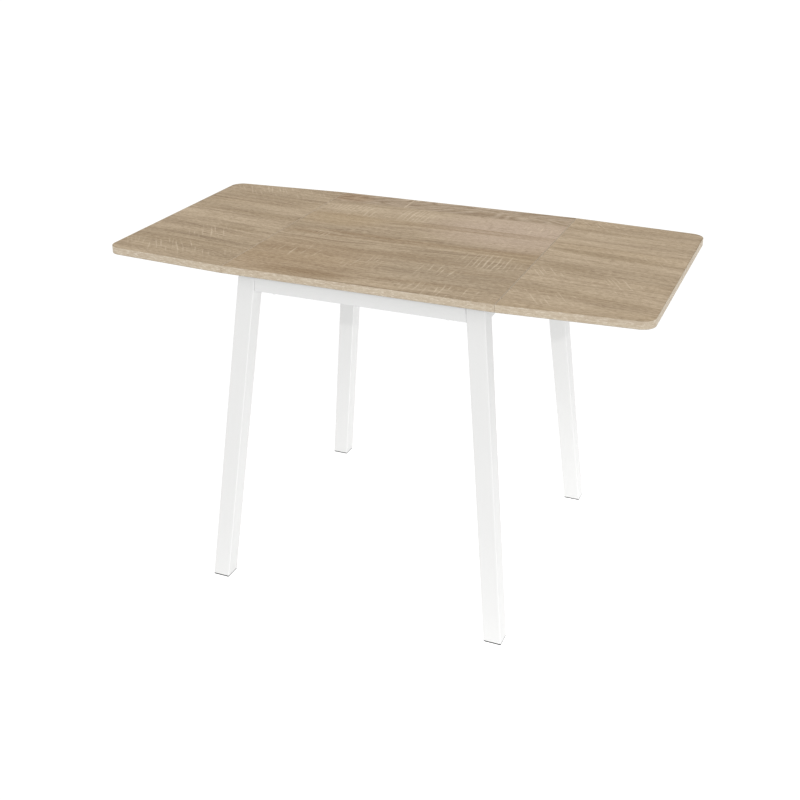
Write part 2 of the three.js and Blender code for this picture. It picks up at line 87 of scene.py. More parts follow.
class Graph:
    """A material's node tree; a method adds a node, or a few, and returns what they put out."""

    def __init__(self, name):
        self.material = bpy.data.materials.new(name)
        self.material.use_nodes = True
        self.tree = self.material.node_tree
        self.shader = self.tree.nodes["Principled BSDF"]

    def add(self, kind, inputs=None, **settings):
        node = self.tree.nodes.new(kind)
        for key, value in settings.items():
            setattr(node, key, value)
        for key, value in (inputs or {}).items():
            self.feed(node.inputs[key], value)
        return node

    def feed(self, socket, value):
        if isinstance(value, bpy.types.NodeSocket):
            self.tree.links.new(value, socket)
        else:
            socket.default_value = value

    def math(self, operation, *values):
        node = self.add("ShaderNodeMath", operation=operation)
        for socket, value in zip(node.inputs, values):
            self.feed(socket, value)
        return node.outputs[0]

    def plus(self, *values):
        total = values[0]
        for value in values[1:]:
            total = self.math("ADD", total, value)
        return total

    def times(self, a, b):
        return self.math("MULTIPLY", a, b)

    def minus(self, a, b):
        return self.math("SUBTRACT", a, b)

    def ramp(self, value, low, high):
        """A smooth step from 0 at low to 1 at high; low may be the larger of the two."""
        if low > high:
            return self.minus(1.0, self.ramp(value, high, low))
        node = self.add("ShaderNodeMapRange", {0: value, 1: low, 2: high}, interpolation_type="SMOOTHSTEP")
        return node.outputs[0]

    def vector(self, x, y, z):
        return self.add("ShaderNodeCombineXYZ", {0: x, 1: y, 2: z}).outputs[0]

    def split(self, vector):
        return self.add("ShaderNodeSeparateXYZ", {0: vector}).outputs

    def place(self):
        return self.add("ShaderNodeTexCoord").outputs["Object"]

    def facing(self):
        """The surface's normal in the object's own frame."""
        return self.add("ShaderNodeTexCoord").outputs["Normal"]

    def noise(self, vector, scale=1.0, detail=2.0, rough=0.5, twist=0.0):
        node = self.add("ShaderNodeTexNoise", {
            "Vector": vector, "Scale": scale, "Detail": detail, "Roughness": rough, "Distortion": twist})
        return node.outputs[0]

    def cells(self, vector, scale):
        """The distance to the nearest of many scattered points."""
        return self.add("ShaderNodeTexVoronoi", {"Vector": vector, "Scale": scale}).outputs[0]

    def mix(self, factor, a, b):
        node = self.add("ShaderNodeMix", {0: factor, 6: a, 7: b}, data_type="RGBA")
        return node.outputs[2]

    def tint(self, factor, base, shade):
        """base multiplied by the colour shade, as far as factor says."""
        node = self.add("ShaderNodeMix", {0: factor, 6: base, 7: shade},
                        data_type="RGBA", blend_type="MULTIPLY")
        return node.outputs[2]

    def bump(self, height, strength, distance):
        node = self.add("ShaderNodeBump", {"Height": height, "Strength": strength, "Distance": distance})
        return node.outputs[0]

    def edges(self, radius, low, high):
        """How much an edge is worn: the angle between the true normal and one rounded by radius."""
        rounded = self.add("ShaderNodeBevel", {"Radius": radius}, samples=4).outputs[0]
        true = self.add("ShaderNodeNewGeometry").outputs["Normal"]
        same = self.add("ShaderNodeVectorMath", {0: rounded, 1: true}, operation="DOT_PRODUCT")
        return self.ramp(same.outputs["Value"], high, low)

    def surface(self, color, roughness, normal=None, **constants):
        """Feeds the shader; a constant's name is its socket's, with _ for each space."""
        self.feed(self.shader.inputs["Base Color"], color)
        self.feed(self.shader.inputs["Roughness"], roughness)
        if normal is not None:
            self.feed(self.shader.inputs["Normal"], normal)
        for name, value in constants.items():
            self.shader.inputs[name.replace("_", " ")].default_value = value
        return self.material


# ---------------------------------------------------------------- oak decor


class Decor(Graph):
    """Printed oak on a board: colour by layers, with the grain along x and its waves in v."""

    def __init__(self, name, slope, shift, wander=0.060):
        """slope is the grain's fall along the board, shift picks its stretch of noise, and wander
        is how far its broad waves reach."""
        super().__init__(name)
        self.x, self.y, _ = self.split(self.place())
        self.shift = shift
        broad = self.noise(self.spot(self.x, 2.4, self.y, 6.0), detail=1.0)
        small = self.noise(self.spot(self.x, 10.0, self.y, 26.0), detail=2.0)
        small_wander = 0.016
        wave = self.plus(self.times(self.minus(broad, 0.5), wander),
                         self.times(self.minus(small, 0.5), small_wander))
        self.v = self.plus(self.y, self.times(self.x, slope), wave)

    def spot(self, x, along, y, across, offset=0.0):
        """A place in a noise field that has along repeats in each metre of x, and across of y."""
        return self.vector(self.times(x, along), self.times(y, across), self.shift + offset)

    def grain(self, along, across, offset, detail=3.0, rough=0.6):
        """Noise stretched along the grain."""
        return self.noise(self.spot(self.x, along, self.v, across, offset), detail=detail, rough=rough)

    def oval(self, x, y, length, width, slope=0.0, whole=0.0):
        """A soft patch: 1 up to whole of its squared reach, 0 outside, length along x, width along y."""
        dx = self.minus(self.x, x)
        dy = self.plus(self.minus(self.y, y), self.times(dx, slope))
        squares = [self.math("POWER", self.math("ABSOLUTE", self.times(away, 2 / size)), 2.0)
                   for away, size in ((dx, length), (dy, width))]
        return self.ramp(self.plus(*squares), 1.0, whole)

    def rings(self, along, across, offset, count, bend):
        """Contour lines of a smooth field, which close round like the grain of a flat-sawn plank."""
        spot = self.spot(self.x, along, self.v, across, offset)
        field = self.noise(spot, detail=1.0, rough=0.35, twist=bend)
        lines = self.math("SINE", self.times(field, count * math.tau))
        return self.plus(self.times(lines, 0.5), 0.5)

    def flecks(self, patches, lean=0.0, steady=()):
        """Pale rays that cross the grain like a comb: broken in patches of (x, y, length, width), whole
        and a little stronger in the steady ones, and tilted by lean."""
        rays_in_metre, bend, steady_strength = 92.0, 14.0, 1.1
        across = self.plus(self.x, self.times(self.y, lean))
        wander = self.noise(self.spot(across, 22.0, self.y, 9.0), detail=1.0)
        turns = self.times(across, math.tau * rays_in_metre)
        comb = self.math("SINE", self.plus(turns, self.times(wander, bend)))
        gate = self.ramp(self.noise(self.spot(across, 70.0, self.y, 17.0, 31), detail=1.0), 0.47, 0.62)
        where = 0.0
        for patch in patches:
            where = self.math("MAXIMUM", where, self.times(self.oval(*patch), gate))
        for patch in steady:
            where = self.math("MAXIMUM", where, self.times(self.oval(*patch), steady_strength))
        return self.times(self.ramp(comb, 0.35, 0.98), where)


def printed(red, green, blue):
    """The ink that shows as this colour: light is how much of it the studio brings out, and sheen is
    the white that the surface adds."""
    sheen = 0.040
    light = 0.88
    return tuple(max(0.0, (c - sheen) / light) for c in linear(red, green, blue)[:3]) + (1.0,)


LIGHT_OAK = printed(191, 174, 150)
OAK = printed(175, 158, 134)
DARK_OAK = printed(151, 130, 104)
RED_OAK = printed(165, 142, 114)
PINK_OAK = printed(189, 171, 153)
GREY_OAK = printed(168, 153, 132)
GOLD_OAK = printed(178, 158, 129)
PALE_RAY = printed(212, 197, 174)
STREAK_SHADE = linear(214, 207, 199)
PORE_SHADE = linear(190, 178, 164)
RAY_STRENGTH = 0.50
LEAF_SLOPE = 0.10


def oak_layers(d):
    """The layers that every board has, from broad tones down to fine lines. Each is a blend, a tone and
    its strength, where in the noise it starts and is whole, and the grain that makes the noise."""
    color = d.mix(d.ramp(d.grain(1.1, 9.0, 0, 3.0), 0.36, 0.64), OAK, LIGHT_OAK)
    for blend, tone, strength, start, whole, grain in (
            (d.mix, GOLD_OAK, 0.50, 0.50, 0.70, (1.5, 6.0, 5, 1.0)),
            (d.mix, DARK_OAK, 0.26, 0.50, 0.66, (1.6, 21.0, 3, 4.0)),
            (d.tint, STREAK_SHADE, 0.68, 0.44, 0.64, (2.6, 44.0, 7, 6.0, 0.68)),
            (d.mix, LIGHT_OAK, 0.34, 0.54, 0.68, (2.4, 66.0, 11, 4.0)),
            (d.tint, STREAK_SHADE, 0.75, 0.44, 0.62, (5.5, 130.0, 15, 5.0, 0.70))):
        color = blend(d.times(d.ramp(d.grain(*grain), start, whole), strength), color, tone)
    return color


def oak_finish(d, color):
    """Fibres, short dashes and pores, the plain paper under the board, and the pressed texture that
    gives the laminate its sheen."""
    fibre = d.grain(15.0, 430.0, 19, 4.0, 0.70)
    dash = d.grain(90.0, 260.0, 61, 3.0, 0.65)
    pore = d.ramp(d.grain(48.0, 900.0, 23, 1.0), 0.60, 0.70)
    color = d.tint(d.times(d.ramp(fibre, 0.42, 0.62), 0.42), color, STREAK_SHADE)
    color = d.mix(d.times(d.ramp(fibre, 0.46, 0.30), 0.22), color, LIGHT_OAK)
    color = d.tint(d.times(d.ramp(dash, 0.46, 0.62), 0.54), color, STREAK_SHADE)
    color = d.mix(d.times(d.ramp(dash, 0.48, 0.34), 0.23), color, LIGHT_OAK)
    color = d.tint(d.times(pore, 0.7), color, PORE_SHADE)
    backing = d.tint(d.noise(d.place(), 260.0, 3.0), linear(186, 186, 185), linear(232, 232, 231))
    color = d.mix(d.ramp(d.split(d.facing())[2], -0.6, -0.8), color, backing)
    roughness = d.plus(0.50, d.times(fibre, 0.10), d.times(pore, 0.10))
    texture = d.bump(d.minus(d.times(fibre, 0.4), pore), 0.35, 0.06 * MM)
    return d.surface(color, roughness, texture, Specular_IOR_Level=0.28)


def areas(d, color, patches):
    """Broad soft patches of another tone: (x, y, length, width, tone, strength)."""
    for x, y, length, width, tone, strength in patches:
        color = d.mix(d.times(d.oval(x, y, length, width), strength), color, tone)
    return color


def streaks(d, color, places, tone, slope):
    """Bundles of lines along the grain: (x, y, length, width, strength)."""
    lines = d.ramp(d.grain(2.2, 105.0, 41, 3.0), 0.40, 0.60)
    for x, y, length, width, strength in places:
        spot = d.times(d.oval(x, y, length, width, slope), strength)
        color = d.mix(d.times(spot, d.plus(0.30, d.times(lines, 0.70))), color, tone)
    return color


def rear_plank(d, color):
    """The last printed plank at the rear: flat-sawn, with a dark swirl at its left and one thin ray."""
    joint, blur = 0.234, 0.0025
    ragged = d.times(d.noise(d.vector(d.x, 0.0, 9.0), 3.0), 0.004)
    figure = d.rings(4.0, 15.0, 53, 7.0, 1.2)
    plank = d.mix(figure, printed(160, 142, 120), printed(184, 168, 148))
    plank = d.tint(d.times(d.ramp(d.grain(3.0, 90.0, 57, 4.0), 0.44, 0.64), 0.7), plank, STREAK_SHADE)
    swirl = d.times(d.oval(-0.262, 0.270, 0.15, 0.09), 0.75)
    plank = d.mix(swirl, plank, d.mix(figure, printed(140, 115, 90), printed(166, 143, 117)))
    thin_ray = d.oval(-0.108, 0.268, 0.005, 0.09, whole=0.4)
    plank = d.mix(d.times(thin_ray, 0.6), plank, PALE_RAY)
    return d.mix(d.ramp(d.plus(d.y, ragged), joint, joint + blur), color, plank)


def centre_decor():
    """The centre board's grain runs straight, with ray flecks between its dark streaks."""
    d = Decor("oak_centre_board", 0.0, 4.0)
    color = areas(d, oak_layers(d), (
        (0.02, 0.180, 1.00, 0.13, LIGHT_OAK, 0.50),
        (0.22, 0.140, 0.56, 0.34, PINK_OAK, 0.85),
        (-0.20, -0.200, 0.50, 0.36, RED_OAK, 0.45),
        (-0.22, 0.090, 0.30, 0.12, GOLD_OAK, 0.60),
        (0.18, -0.180, 0.40, 0.30, GREY_OAK, 0.45)))
    color = streaks(d, color, (
        (0.12, 0.119, 0.58, 0.046, 0.80),
        (-0.24, 0.132, 0.26, 0.050, 0.50),
        (-0.12, -0.014, 0.60, 0.062, 0.85),
        (0.20, -0.004, 0.46, 0.044, 0.70),
        (0.02, -0.110, 0.44, 0.070, 0.50),
        (-0.24, -0.145, 0.24, 0.050, 0.60),
        (0.20, -0.150, 0.30, 0.050, 0.35),
        (-0.12, -0.276, 0.28, 0.056, 0.95),
        (0.12, -0.245, 0.34, 0.040, 0.50)), DARK_OAK, 0.0)
    color = streaks(d, color, ((0.06, -0.034, 0.70, 0.014, 0.7), (0.12, 0.098, 0.50, 0.016, 0.5)),
                    LIGHT_OAK, 0.0)
    rays = d.flecks((
        (-0.19, 0.160, 0.22, 0.10), (-0.20, -0.015, 0.10, 0.08),
        (-0.04, -0.170, 0.13, 0.12), (0.21, -0.075, 0.20, 0.14), (0.13, -0.165, 0.15, 0.11),
        (0.18, -0.272, 0.28, 0.09), (-0.20, -0.150, 0.16, 0.10), (0.24, 0.180, 0.14, 0.08)),
        steady=((-0.055, 0.182, 0.13, 0.12), (-0.22, 0.188, 0.20, 0.07), (0.215, -0.085, 0.12, 0.09)))
    color = d.mix(d.times(rays, RAY_STRENGTH), color, PALE_RAY)
    return oak_finish(d, rear_plank(d, color))


LEAF_STREAKS = {
    "left": (
        (-0.43, 0.196, 0.40, 0.034, 0.75), (-0.38, 0.048, 0.34, 0.050, 0.75),
        (-0.52, 0.064, 0.22, 0.026, 0.50), (-0.40, -0.058, 0.15, 0.060, 0.65),
        (-0.44, -0.190, 0.40, 0.064, 0.70), (-0.50, 0.130, 0.30, 0.030, 0.35),
        (-0.46, -0.262, 0.30, 0.020, 0.40)),
    "right": (
        (0.44, 0.056, 0.40, 0.044, 0.90), (0.40, 0.216, 0.30, 0.024, 0.60),
        (0.37, -0.042, 0.15, 0.050, 0.75), (0.44, -0.196, 0.40, 0.060, 0.65),
        (0.565, -0.214, 0.08, 0.016, 0.70), (0.50, 0.170, 0.24, 0.040, 0.40),
        (0.44, -0.262, 0.30, 0.020, 0.40)),
}
LEAF_LIGHTS = {
    "left": ((-0.44, 0.260, 0.30, 0.05, 0.5), (-0.44, 0.115, 0.36, 0.030, 0.6),
             (-0.44, -0.006, 0.36, 0.030, 0.5), (-0.46, -0.280, 0.30, 0.040, 0.6)),
    "right": ((0.45, 0.022, 0.36, 0.010, 0.8), (0.44, 0.120, 0.36, 0.030, 0.6),
              (0.46, -0.270, 0.30, 0.050, 0.6), (0.54, -0.10, 0.12, 0.10, 0.4)),
}
LEAF_FLECKS = {
    "left": ((-0.46, -0.225, 0.34, 0.11), (-0.45, -0.100, 0.16, 0.12), (-0.46, 0.250, 0.36, 0.10)),
    "right": ((0.37, -0.230, 0.20, 0.10), (0.50, -0.115, 0.12, 0.14), (0.535, 0.056, 0.10, 0.10),
              (0.36, 0.270, 0.20, 0.10), (0.34, -0.09, 0.10, 0.10)),
}


def leaf_decor(side, mirror):
    """The leaves' grain runs a little down towards the right, and their rays lean with it."""
    d = Decor(f"oak_{side}_leaf", LEAF_SLOPE, 11.0 + 3.0 * mirror, wander=0.036)
    color = d.mix(0.16 + 0.08 * mirror, oak_layers(d), LIGHT_OAK)
    color = streaks(d, color, LEAF_STREAKS[side], printed(159, 141, 116), LEAF_SLOPE)
    color = streaks(d, color, LEAF_LIGHTS[side], LIGHT_OAK, LEAF_SLOPE)
    rays = d.flecks(LEAF_FLECKS[side], lean=0.62)
    return oak_finish(d, d.mix(d.times(rays, RAY_STRENGTH), color, PALE_RAY))


# ---------------------------------------------------------------- edge band

UNDER_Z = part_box("centre_panel")[0].z


def band_material(name, face, top):
    """A printed plastic strip: short soft dashes along it, a fine speckle and painted shade along its
    lower edge.
    """
    g = Graph(name)
    x, y, z = g.split(g.place())
    facing_x, _, facing_z = g.split(g.facing())
    at_end = g.ramp(g.math("ABSOLUTE", facing_x), 0.45, 0.75)
    along = g.plus(g.times(x, g.minus(1.0, at_end)), g.times(y, at_end))

    def streak(stretch, fine, offset, detail=3.0):
        spot = g.vector(g.times(along, stretch), g.times(z, fine), g.plus(offset, at_end))
        return g.noise(spot, detail=detail)

    color = face
    for stretch, fine, offset, start, whole, strength, tone in (
            (7.0, 70.0, 2.0, 0.42, 0.64, 0.60, linear(188, 172, 150)),
            (45.0, 230.0, 5.0, 0.44, 0.60, 0.62, linear(184, 167, 144)),
            (95.0, 380.0, 8.0, 0.50, 0.64, 0.62, linear(222, 211, 194))):
        dashes = g.ramp(streak(stretch, fine, offset), start, whole)
        color = g.mix(g.times(dashes, strength), color, tone)
    # painted shade: the band darkens towards its lower edge, standing in for the shadow line under the top
    painted_light_arris = g.ramp(z, UNDER_Z + 1.4 * MM, UNDER_Z + 0.2 * MM)
    color = g.mix(g.times(painted_light_arris, 0.75), color, linear(140, 131, 118))
    speck = g.noise(g.place(), 900.0, 1.0)
    color = g.tint(g.times(g.ramp(speck, 0.45, 0.70), 0.5), color, linear(222, 214, 204))
    upper = g.ramp(facing_z, 0.6, 0.9)
    color = g.mix(g.times(upper, 0.85), color, top)
    roughness = g.plus(0.46, g.times(speck, 0.14))
    texture = g.bump(g.plus(speck, streak(30.0, 900.0, 12.0, 1.0)), 0.25, 0.03 * MM)
    return g.surface(color, roughness, texture, Specular_IOR_Level=0.4)


# ---------------------------------------------------------------- metals and plastic


def powder_coat():
    """White powder coat: the faint orange peel and dust nibs of a sprayed and baked finish, with a
    painted highlight on the rounded edges and painted shade where those face down."""
    g = Graph("white_powder_coat")
    place = g.place()
    facing = g.split(g.facing())
    peel = g.noise(place, 420.0, 2.0, 0.55)
    nibs = g.ramp(g.cells(place, 140.0), 0.10, 0.04)
    cloud = g.noise(place, 9.0, 2.0)
    sizes = [g.math("ABSOLUTE", part) for part in facing]
    largest = g.math("MAXIMUM", g.math("MAXIMUM", sizes[0], sizes[1]), sizes[2])
    painted_light_arris = g.ramp(largest, 0.94, 0.80)
    downward_painted_shade = g.ramp(facing[2], -0.15, -0.45)
    color = g.mix(g.times(cloud, 0.5), linear(228, 228, 227), linear(224, 224, 223))
    # painted highlight: the rounded edges are made paler
    color = g.mix(g.times(painted_light_arris, 0.6), color, linear(243, 243, 243))
    # painted shade: the rounded edges that face down are made greyer
    color = g.mix(g.times(g.times(painted_light_arris, downward_painted_shade), 0.9), color, linear(188, 189, 190))
    roughness = g.plus(0.32, g.times(peel, 0.10), g.times(cloud, 0.06))
    texture = g.bump(g.plus(peel, g.times(nibs, 0.5)), 0.30, 0.05 * MM)
    return g.surface(color, roughness, texture, Specular_IOR_Level=0.5)


def zinc_plate():
    """Bright zinc: a soft spangle, fine drawing lines, and paler rubbed edges."""
    g = Graph("zinc_plate")
    place = g.place()
    x, y, z = g.split(place)
    spangle = g.cells(place, 260.0)
    lines = g.noise(g.vector(g.times(x, 90.0), g.times(y, 90.0), g.times(z, 1400.0)), detail=2.0)
    stain = g.noise(place, 60.0, 3.0, 0.6)
    worn = g.edges(0.5 * MM, 0.92, 0.6)
    color = g.mix(g.ramp(stain, 0.35, 0.70), linear(196, 199, 203), linear(172, 174, 170))
    color = g.mix(g.times(spangle, 0.35), color, linear(214, 214, 208))
    color = g.mix(g.times(worn, 0.5), color, linear(226, 227, 228))
    roughness = g.plus(0.26, g.times(lines, 0.16), g.times(stain, 0.14))
    normal = g.bump(lines, 0.2, 0.02 * MM)
    return g.surface(color, roughness, normal, Metallic=0.95)


def spring_steel():
    """Drawn spring wire, oil-darkened and faintly rough."""
    g = Graph("spring_steel")
    place = g.place()
    stain = g.noise(place, 320.0, 3.0, 0.6)
    color = g.mix(stain, linear(96, 97, 101), linear(138, 136, 132))
    roughness = g.plus(0.24, g.times(stain, 0.22))
    normal = g.bump(g.noise(place, 2600.0, 1.0), 0.15, 0.01 * MM)
    return g.surface(color, roughness, normal, Metallic=1.0)


def foot_plastic():
    """Dark moulded plastic with a fine spark-eroded grain, scuffed pale where it rests."""
    g = Graph("foot_plastic")
    place = g.place()
    _, _, z = g.split(place)
    grain = g.noise(place, 1500.0, 2.0)
    scuff = g.times(g.ramp(g.noise(place, 160.0, 4.0, 0.7), 0.50, 0.68), g.ramp(z, 0.9 * MM, 0.1 * MM))
    color = g.mix(g.times(scuff, 0.4), linear(28, 28, 29), linear(84, 83, 81))
    roughness = g.plus(0.50, g.times(grain, 0.18))
    normal = g.bump(grain, 0.4, 0.04 * MM)
    return g.surface(color, roughness, normal, Specular_IOR_Level=0.25)


# ---------------------------------------------------------------- dressing the CAD nodes


SAME_POINT = 0.005 * MM
SAME_PLANE = math.radians(0.5)
ROUNDED_EDGE = math.radians(40)
SHARP_EDGE = math.radians(35)


def dress(name, material, bevel=0.0):
    """Gives a CAD node its material and, with modifiers only, small rounded edges."""
    obj = NODES[name]
    obj.data.materials.clear()
    obj.data.materials.append(material)
    weld = obj.modifiers.new("weld", "WELD")
    weld.merge_threshold = SAME_POINT
    if bevel:
        flat = obj.modifiers.new("flat", "DECIMATE")
        flat.decimate_type = "DISSOLVE"
        flat.angle_limit = SAME_PLANE
        edge = obj.modifiers.new("edge", "BEVEL")
        edge.width = bevel
        edge.segments = 2
        edge.limit_method = "ANGLE"
        edge.angle_limit = ROUNDED_EDGE
        edge.use_clamp_overlap = True
        edge.harden_normals = True
    for face in obj.data.polygons:
        face.use_smooth = True
    normals = obj.modifiers.new("normals", "WEIGHTED_NORMAL")
    normals.weight = 90
    normals.keep_sharp = True


def dress_everything():
    """Every CAD node gets its material, also those that a detailed piece then stands for."""
    band_face = linear(199, 185, 163)
    edge_band = band_material("edge_band", band_face, linear(192, 177, 155))
    seam_bands = {"left": band_material("left_seam_band", band_face, linear(169, 151, 127)),
                  "right": band_material("right_seam_band", band_face, linear(166, 150, 127))}
    white = powder_coat()
    zinc = zinc_plate()
    spring = spring_steel()
    plastic = foot_plastic()
    dress("centre_panel", centre_decor())
    for side, mirror in SIDES:
        dress(f"{side}_leaf_panel", leaf_decor(side, mirror))
        dress(f"{side}_leaf_edge_band", edge_band, 0.3 * MM)
        dress(f"{side}_leaf_seam_band", seam_bands[side], 0.15 * MM)
        dress(f"centre_{side}_seam_band", seam_bands[side], 0.15 * MM)
        dress(f"{side}_rail", white, 0.4 * MM)
    for end, _ in ENDS:
        dress(f"centre_{end}_edge_band", edge_band, 0.3 * MM)
        dress(f"{end}_rail", white, 0.4 * MM)
    for corner, _, _ in CORNERS:
        dress(corner + "leg", white, 0.4 * MM)
        dress(corner + "foot_plug", plastic, 0.4 * MM)
        for part in ("top_screw", "corner_brace", "leg_bolt", "hinge_base", "hinge_arm", "hinge_pin",
                     "lock_lever", "lever_pin"):
            dress(corner + part, zinc, 0.3 * MM)
        dress(corner + "lever_spring", spring)
    top_screws(zinc)
    leg_bolts(zinc)
    rivets(zinc)
    lever_springs(spring)
    bracket_screws(zinc)


# ---------------------------------------------------------------- fasteners, pins and springs

BRACKET_PLATE = 3 * MM


def turned(profile, around):
    """A closed shape turned about Z. The profile runs from axis to axis as (radius, z); a radius
    may be a function of the angle, which makes a screw thread."""
    shape = bmesh.new()
    rings = []
    for radius, z in profile:
        if radius == 0:
            rings.append([shape.verts.new((0, 0, z))])
            continue
        ring = []
        for step in range(around):
            angle = math.tau * step / around
            r = radius(angle) if callable(radius) else radius
            ring.append(shape.verts.new((r * math.cos(angle), r * math.sin(angle), z)))
        rings.append(ring)
    for lower, upper in zip(rings, rings[1:]):
        for i in range(around):
            j = (i + 1) % around
            corners = (lower[i % len(lower)], lower[j % len(lower)],
                       upper[j % len(upper)], upper[i % len(upper)])
            shape.faces.new(list(dict.fromkeys(corners)))
    bmesh.ops.recalc_face_normals(shape, faces=shape.faces)
    return shape


def thread(radius, depth, pitch, start, end):
    """Rings of a helical ridge, as a stretch of a profile."""
    rings_in_turn, steepness = 6, 1.3
    steps = round(rings_in_turn * (end - start) / pitch)
    rings = []
    for step in range(steps + 1):
        z = start + (end - start) * step / steps

        def reach(angle, z=z):
            turn = (z / pitch - angle / math.tau) % 1
            return radius - depth * min(1, abs(2 * turn - 1) * steepness)
        rings.append((reach, z))
    return rings


def arc(x, z, radius, start, end):
    """Points of a round stretch of a profile, with its angles in degrees from +X."""
    steps = 5
    angles = [math.radians(start + (end - start) * step / steps) for step in range(steps + 1)]
    return [(x + radius * math.cos(a), z + radius * math.sin(a)) for a in angles]


def as_mesh(shape, name):
    mesh = bpy.data.meshes.new(name)
    shape.to_mesh(mesh)
    shape.free()
    return mesh


def boolean(body, tool, operation):
    """The mesh of body cut by, or kept within, tool; both are closed shapes."""
    made = []
    for shape in (body, tool):
        obj = bpy.data.objects.new("blank", as_mesh(shape, "blank"))
        bpy.context.scene.collection.objects.link(obj)
        made.append(obj)
    cut = made[0].modifiers.new("cut", "BOOLEAN")
    cut.operation = operation
    cut.object = made[1]
    cut.solver = "EXACT"
    graph = bpy.context.evaluated_depsgraph_get()
    mesh = bpy.data.meshes.new_from_object(made[0].evaluated_get(graph))
    for obj in made:
        blank = obj.data
        bpy.data.objects.remove(obj)
        bpy.data.meshes.remove(blank)
    return mesh


def prism(outline, low, high):
    """An upright solid over a plan outline."""
    shape = bmesh.new()
    bottom = [shape.verts.new((x, y, low)) for x, y in outline]
    top = [shape.verts.new((x, y, high)) for x, y in outline]
    shape.faces.new(bottom[::-1])
    shape.faces.new(top)
    for i, corner in enumerate(bottom):
        j = (i + 1) % len(bottom)
        shape.faces.new((corner, bottom[j], top[j], top[i]))
    return shape


def recess(reach, width, depth, top):
    """A cross-shaped cutter whose arms taper towards the bottom."""
    half, taper = width / 2, 0.55
    plan = []
    for quarter in range(4):
        turn = Matrix.Rotation(math.pi / 2 * quarter, 2)
        plan += [tuple(turn @ Vector(p)) for p in ((reach, -half), (reach, half), (half, half))]
    shape = prism(plan, top - depth, top + MM)
    for vert in shape.verts:
        if vert.co.z < top:
            vert.co.x *= taper
            vert.co.y *= taper
    bmesh.ops.recalc_face_normals(shape, faces=shape.faces)
    return shape


def pan_head(radius, height):
    """A cross-recessed pan-head screw, its seat at z = 0 and a short shank below."""
    shank, shoulder, tip = 0.45 * radius, -1.2 * radius, -1.5 * radius
    rim, rounding, crown = 0.35 * height, 0.5 * height, 1.08 * height
    profile = [(0, tip), (shank, shoulder), (shank, 0), (radius, 0), (radius, rim)]
    profile += arc(radius - rounding, height - rounding, rounding, 5, 80)
    profile += [(0.5 * radius, 1.06 * height), (0, crown)]
    cross = recess(0.55 * radius, 0.24 * radius, 0.7 * height, crown)
    return boolean(turned(profile, 28), cross, "DIFFERENCE")


def gathered(template, places):
    """One mesh with a copy of template at each (position, direction of its +Z)."""
    shape = bmesh.new()
    for position, direction in places:
        first = len(shape.verts)
        shape.from_mesh(template)
        shape.verts.ensure_lookup_table()
        move = Matrix.Translation(position) @ turn_to(direction)
        bmesh.ops.transform(shape, matrix=move, verts=shape.verts[first:])
    return as_mesh(shape, "gathered")


def add_piece(name, mesh, material, slot, body, *replaced):
    """A piece that rides on a body, and stands for the CAD nodes named last."""
    obj = bpy.data.objects.new(name, mesh)
    mesh.name = name
    bpy.context.scene.collection.objects.link(obj)
    mesh.materials.clear()
    mesh.materials.append(material)
    for face in mesh.polygons:
        face.use_smooth = True
    mesh.set_sharp_from_angle(angle=SHARP_EDGE)
    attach(obj, body)
    if replaced:
        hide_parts(*replaced)


def middle(name):
    low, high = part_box(name)
    return (low + high) / 2


def body_of(name):
    return NODES[name]["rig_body"]


def turn_to(direction):
    """The turn that brings +Z to a direction."""
    return Vector(direction).to_track_quat("Z", "Y").to_matrix().to_4x4()


def top_screws(zinc):
    """The screws up through the rails, with a pan head, a core and a wood thread."""
    head, radius, rounding = 2.8 * MM, 4.6 * MM, 1.2 * MM
    core, ridge, pitch = 2.2 * MM, 0.7 * MM, 1.6 * MM
    for corner, _, _ in CORNERS:
        node = corner + "top_screw"
        low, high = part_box(node)
        length = high.z - low.z
        profile = [(0, 0), (0.5 * radius, 0)]
        profile += arc(radius - rounding, rounding, rounding, -80, 0)
        profile += [(radius, head), (core, head), (core, head + 2 * MM)]
        profile += thread(core, ridge, pitch, head + 3 * MM, length - 3 * MM)
        profile += [(0, length)]
        cross = recess(2.5 * MM, 1.1 * MM, 1.9 * MM, 0)
        bmesh.ops.scale(cross, vec=(1, 1, -1), verts=cross.verts)
        bmesh.ops.recalc_face_normals(cross, faces=cross.faces)
        mesh = boolean(turned(profile, 28), cross, "DIFFERENCE")
        mesh.transform(Matrix.Translation((middle(node).x, middle(node).y, low.z)))
        add_piece(corner + "top_fixing", mesh, zinc, "zinc_steel", body_of(node), node)


def hex_bolt():
    """A hexagon bolt along +Z: a chamfered head, a flat washer up to its seat, and a machine thread."""
    seat, washer, head = -3.3 * MM, 1.6 * MM, 5.2 * MM
    shank, hex_radius, length = 4 * MM, 7.5 * MM, 38 * MM
    washer_radius, chamfer, thread_start = 8.5 * MM, 1.1 * MM, 9 * MM
    under_head = seat - washer
    top = under_head - head
    hexagon = [(hex_radius * math.cos(math.tau * i / 6), hex_radius * math.sin(math.tau * i / 6))
               for i in range(6)]
    cone = turned([(0, top), (0.80 * hex_radius, top), (1.02 * hex_radius, top + chamfer),
                   (1.02 * hex_radius, seat), (0, seat)], 36)
    crown = boolean(prism(hexagon, top, under_head), cone, "INTERSECT")
    stem = turned([(0, seat - washer / 2), (shank, seat - washer / 2), (shank, thread_start - MM)]
                  + thread(shank, 0.6 * MM, 1.25 * MM, thread_start, length - 2 * MM)
                  + [(0.7 * shank, length), (0, length)], 24)
    ring = turned([(0, under_head), (washer_radius - 0.3 * MM, under_head),
                   (washer_radius, under_head + 0.3 * MM), (washer_radius, seat - 0.2 * MM),
                   (washer_radius - 0.2 * MM, seat), (0, seat)], 36)
    shape = bmesh.new()
    for part in (crown, as_mesh(stem, "stem"), as_mesh(ring, "ring")):
        shape.from_mesh(part)
    return as_mesh(shape, "bolt")


